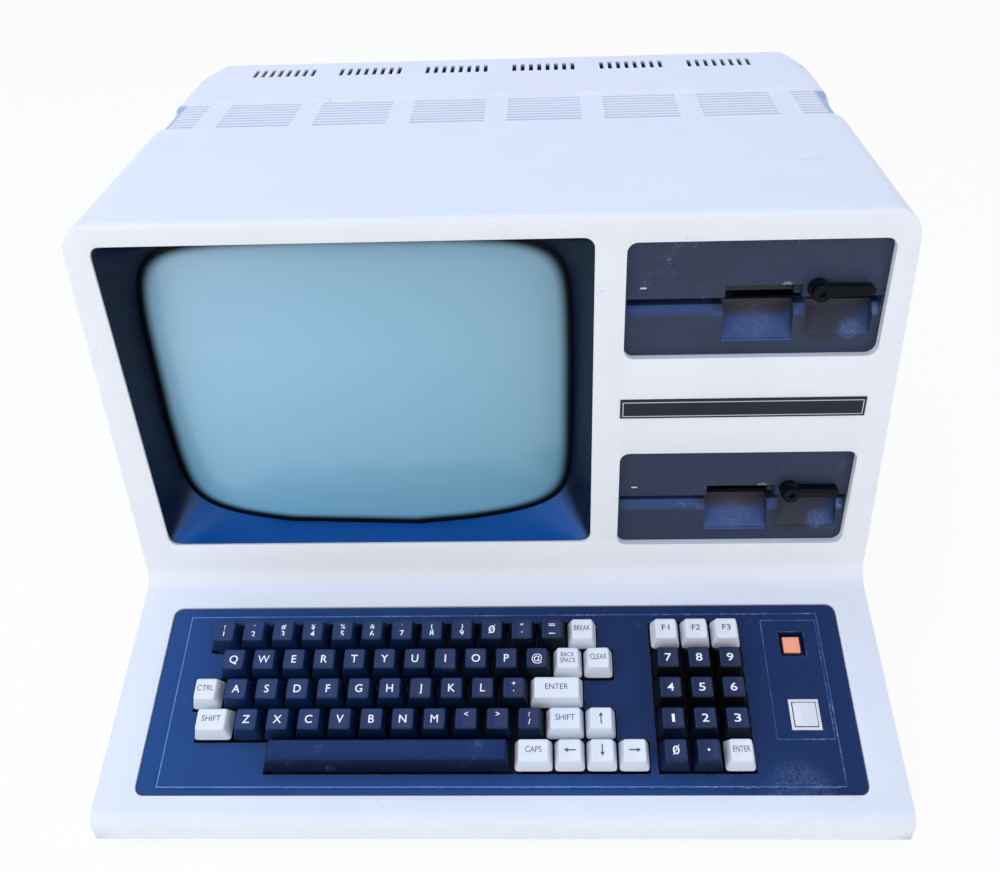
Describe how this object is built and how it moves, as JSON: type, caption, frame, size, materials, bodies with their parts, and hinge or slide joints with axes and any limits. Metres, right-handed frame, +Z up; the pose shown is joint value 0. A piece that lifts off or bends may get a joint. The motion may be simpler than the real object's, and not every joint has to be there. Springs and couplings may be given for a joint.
{
  "type": "vintage home computer",
  "caption": "White early-1980s home computer with a built-in picture tube, two disk drives and a sloping navy keyboard deck.",
  "frame": {"origin": "on the table, under the middle of the cabinet", "axes": "+X to the computer's right as seen from the keyboard side, +Y to the rear, +Z up"},
  "size_m": [0.4794, 0.546, 0.3175],
  "materials": {
    "cabinet": "moulded, fine grain, slightly cool white",
    "deck_navy": "moulded navy blue, fine grain",
    "space_navy": "navy blue, worn smooth",
    "key_dark": "navy black, fine grain",
    "key_white": "cool white, fine grain",
    "reset_orange": "orange",
    "drive_front": "charcoal, coarse grain",
    "lever_black": "black",
    "strip_black": "black with a thin silver border",
    "badge_white": "white, bare",
    "tube_glass": "grey glass over a pale phosphor",
    "zinc_steel": "zinc plated",
    "winding": "copper winding on a plastic core",
    "board_green": "circuit board",
    "alloy": "bare sheet and die casting",
    "black_parts": "black",
    "ribbon_grey": "grey ribbon cable",
    "foot_rubber": "black rubber"
  },
  "bodies": {
    "cabinet": {"top_case": "cabinet", "base_pan": "cabinet", "keyboard_bezel": "deck_navy", "screen_bezel": "deck_navy", "drive_bezel_upper": "drive_front", "drive_bezel_lower": "drive_front", "name_strip": "strip_black", "badge_tile": "badge_white", "crt_tube": "tube_glass", "crt_band": "zinc_steel", "case_screws": "zinc_steel", "drive_motors": "zinc_steel", "deflection_yoke": "winding", "video_boards": "board_green", "logic_boards": "board_green", "drive_boards": "board_green", "drive_chassis_upper": "alloy", "drive_chassis_lower": "alloy", "drive_brackets": "alloy", "power_supply": "alloy", "board_bracket": "alloy", "key_switch_board": "black_parts", "speaker": "black_parts", "power_inlet": "black_parts", "ribbon_cables": "ribbon_grey", "rubber_feet": "foot_rubber"},
    "break_key": {"break_key": "key_white"},
    "backspace_key": {"backspace_key": "key_white"},
    "clear_key": {"clear_key": "key_white"},
    "control_key": {"control_key": "key_white"},
    "enter_key": {"enter_key": "key_white"},
    "shift_key_left": {"shift_key_left": "key_white"},
    "shift_key_right": {"shift_key_right": "key_white"},
    "up_key": {"up_key": "key_white"},
    "caps_key": {"caps_key": "key_white"},
    "left_key": {"left_key": "key_white"},
    "down_key": {"down_key": "key_white"},
    "right_key": {"right_key": "key_white"},
    "f1_key": {"f1_key": "key_white"},
    "f2_key": {"f2_key": "key_white"},
    "f3_key": {"f3_key": "key_white"},
    "pad_enter_key": {"pad_enter_key": "key_white"},
    "number_row_keys": {"number_row_keys": "key_dark"},
    "upper_row_keys": {"upper_row_keys": "key_dark"},
    "home_row_keys": {"home_row_keys": "key_dark"},
    "lower_row_keys": {"lower_row_keys": "key_dark"},
    "number_pad_keys": {"number_pad_keys": "key_dark"},
    "space_bar": {"space_bar": "space_navy"},
    "reset_button": {"reset_button": "reset_orange"},
    "lever_upper": {"drive_lever_upper": "lever_black"},
    "clamp_upper": {"clamp_arm_upper": "zinc_steel"},
    "spindle_upper": {"spindle_upper": "zinc_steel"},
    "heads_upper": {"head_carriage_upper": "alloy"},
    "lever_lower": {"drive_lever_lower": "lever_black"},
    "clamp_lower": {"clamp_arm_lower": "zinc_steel"},
    "spindle_lower": {"spindle_lower": "zinc_steel"},
    "heads_lower": {"head_carriage_lower": "alloy"},
    "rocker": {"power_rocker": "black_parts"},
    "brightness": {"brightness_knob": "black_parts"},
    "contrast": {"contrast_knob": "black_parts"}
  },
  "joints": [
    {"name": "press_break_key", "type": "slide", "parent": "cabinet", "child": "break_key", "axis": [0, 0.304, -0.9527], "range_m": [0, 0.0038], "stiffness_N_per_m": 150, "springref_m": -0.0035},
    {"name": "press_backspace_key", "type": "slide", "parent": "cabinet", "child": "backspace_key", "axis": [0, 0.304, -0.9527], "range_m": [0, 0.0038], "stiffness_N_per_m": 150, "springref_m": -0.0035},
    {"name": "press_clear_key", "type": "slide", "parent": "cabinet", "child": "clear_key", "axis": [0, 0.304, -0.9527], "range_m": [0, 0.0038], "stiffness_N_per_m": 150, "springref_m": -0.0035},
    {"name": "press_control_key", "type": "slide", "parent": "cabinet", "child": "control_key", "axis": [0, 0.304, -0.9527], "range_m": [0, 0.0038], "stiffness_N_per_m": 150, "springref_m": -0.0035},
    {"name": "press_enter_key", "type": "slide", "parent": "cabinet", "child": "enter_key", "axis": [0, 0.304, -0.9527], "range_m": [0, 0.0038], "stiffness_N_per_m": 150, "springref_m": -0.0035},
    {"name": "press_shift_key_left", "type": "slide", "parent": "cabinet", "child": "shift_key_left", "axis": [0, 0.304, -0.9527], "range_m": [0, 0.0038], "stiffness_N_per_m": 150, "springref_m": -0.0035},
    {"name": "press_shift_key_right", "type": "slide", "parent": "cabinet", "child": "shift_key_right", "axis": [0, 0.304, -0.9527], "range_m": [0, 0.0038], "stiffness_N_per_m": 150, "springref_m": -0.0035},
    {"name": "press_up_key", "type": "slide", "parent": "cabinet", "child": "up_key", "axis": [0, 0.304, -0.9527], "range_m": [0, 0.0038], "stiffness_N_per_m": 150, "springref_m": -0.0035},
    {"name": "press_caps_key", "type": "slide", "parent": "cabinet", "child": "caps_key", "axis": [0, 0.304, -0.9527], "range_m": [0, 0.0038], "stiffness_N_per_m": 150, "springref_m": -0.0035},
    {"name": "press_left_key", "type": "slide", "parent": "cabinet", "child": "left_key", "axis": [0, 0.304, -0.9527], "range_m": [0, 0.0038], "stiffness_N_per_m": 150, "springref_m": -0.0035},
    {"name": "press_down_key", "type": "slide", "parent": "cabinet", "child": "down_key", "axis": [0, 0.304, -0.9527], "range_m": [0, 0.0038], "stiffness_N_per_m": 150, "springref_m": -0.0035},
    {"name": "press_right_key", "type": "slide", "parent": "cabinet", "child": "right_key", "axis": [0, 0.304, -0.9527], "range_m": [0, 0.0038], "stiffness_N_per_m": 150, "springref_m": -0.0035},
    {"name": "press_f1_key", "type": "slide", "parent": "cabinet", "child": "f1_key", "axis": [0, 0.304, -0.9527], "range_m": [0, 0.0038], "stiffness_N_per_m": 150, "springref_m": -0.0035},
    {"name": "press_f2_key", "type": "slide", "parent": "cabinet", "child": "f2_key", "axis": [0, 0.304, -0.9527], "range_m": [0, 0.0038], "stiffness_N_per_m": 150, "springref_m": -0.0035},
    {"name": "press_f3_key", "type": "slide", "parent": "cabinet", "child": "f3_key", "axis": [0, 0.304, -0.9527], "range_m": [0, 0.0038], "stiffness_N_per_m": 150, "springref_m": -0.0035},
    {"name": "press_pad_enter_key", "type": "slide", "parent": "cabinet", "child": "pad_enter_key", "axis": [0, 0.304, -0.9527], "range_m": [0, 0.0038], "stiffness_N_per_m": 150, "springref_m": -0.0035},
    {"name": "press_number_row_keys", "type": "slide", "parent": "cabinet", "child": "number_row_keys", "axis": [0, 0.304, -0.9527], "range_m": [0, 0.0038], "stiffness_N_per_m": 150, "springref_m": -0.0035},
    {"name": "press_upper_row_keys", "type": "slide", "parent": "cabinet", "child": "upper_row_keys", "axis": [0, 0.304, -0.9527], "range_m": [0, 0.0038], "stiffness_N_per_m": 150, "springref_m": -0.0035},
    {"name": "press_home_row_keys", "type": "slide", "parent": "cabinet", "child": "home_row_keys", "axis": [0, 0.304, -0.9527], "range_m": [0, 0.0038], "stiffness_N_per_m": 150, "springref_m": -0.0035},
    {"name": "press_lower_row_keys", "type": "slide", "parent": "cabinet", "child": "lower_row_keys", "axis": [0, 0.304, -0.9527], "range_m": [0, 0.0038], "stiffness_N_per_m": 150, "springref_m": -0.0035},
    {"name": "press_number_pad_keys", "type": "slide", "parent": "cabinet", "child": "number_pad_keys", "axis": [0, 0.304, -0.9527], "range_m": [0, 0.0038], "stiffness_N_per_m": 150, "springref_m": -0.0035},
    {"name": "press_space_bar", "type": "slide", "parent": "cabinet", "child": "space_bar", "axis": [0, 0.304, -0.9527], "range_m": [0, 0.0038], "stiffness_N_per_m": 150, "springref_m": -0.0035},
    {"name": "press_reset", "type": "slide", "parent": "cabinet", "child": "reset_button", "axis": [0, 0.304, -0.9527], "range_m": [0, 0.0025], "stiffness_N_per_m": 300, "springref_m": -0.003},
    {"name": "turn_lever_upper", "type": "hinge", "parent": "cabinet", "child": "lever_upper", "pos_m": [0.1832, -0.10335, 0.27175], "axis": [0, 0.9945, -0.1045], "range_deg": [0, 90]},
    {"name": "swing_clamp_upper", "type": "hinge", "parent": "cabinet", "child": "clamp_upper", "pos_m": [0.1485, 0.08611, 0.25667], "axis": [1, 0, 0], "range_deg": [0, 3]},
    {"name": "spin_upper", "type": "hinge", "parent": "cabinet", "child": "spindle_upper", "pos_m": [0.1485, -0.0035, 0.24597], "axis": [0, 0.1045, 0.9945], "continuous": true},
    {"name": "step_heads_upper", "type": "slide", "parent": "cabinet", "child": "heads_upper", "axis": [0, -0.9945, 0.1045], "range_m": [0, 0.0206]},
    {"name": "turn_lever_lower", "type": "hinge", "parent": "cabinet", "child": "lever_lower", "pos_m": [0.1832, -0.11741, 0.13799], "axis": [0, 0.9945, -0.1045], "range_deg": [0, 90]},
    {"name": "swing_clamp_lower", "type": "hinge", "parent": "cabinet", "child": "clamp_lower", "pos_m": [0.1485, 0.07205, 0.1229], "axis": [1, 0, 0], "range_deg": [0, 3]},
    {"name": "spin_lower", "type": "hinge", "parent": "cabinet", "child": "spindle_lower", "pos_m": [0.1485, -0.01756, 0.11221], "axis": [0, 0.1045, 0.9945], "continuous": true},
    {"name": "step_heads_lower", "type": "slide", "parent": "cabinet", "child": "heads_lower", "axis": [0, -0.9945, 0.1045], "range_m": [0, 0.0206]},
    {"name": "rock_power", "type": "hinge", "parent": "cabinet", "child": "rocker", "pos_m": [0.19, -0.235, 0.0135], "axis": [1, 0, 0], "range_deg": [0, 14]},
    {"name": "turn_brightness", "type": "hinge", "parent": "cabinet", "child": "brightness", "pos_m": [-0.2025, -0.235, 0.016], "axis": [1, 0, 0], "range_deg": [0, 270]},
    {"name": "turn_contrast", "type": "hinge", "parent": "cabinet", "child": "contrast", "pos_m": [-0.1775, -0.235, 0.016], "axis": [1, 0, 0], "range_deg": [0, 270]}
  ],
  "couplings": [
    {"joint": "swing_clamp_upper", "follows": "turn_lever_upper", "ratio": 0.033333},
    {"joint": "swing_clamp_lower", "follows": "turn_lever_lower", "ratio": 0.033333}
  ]
}
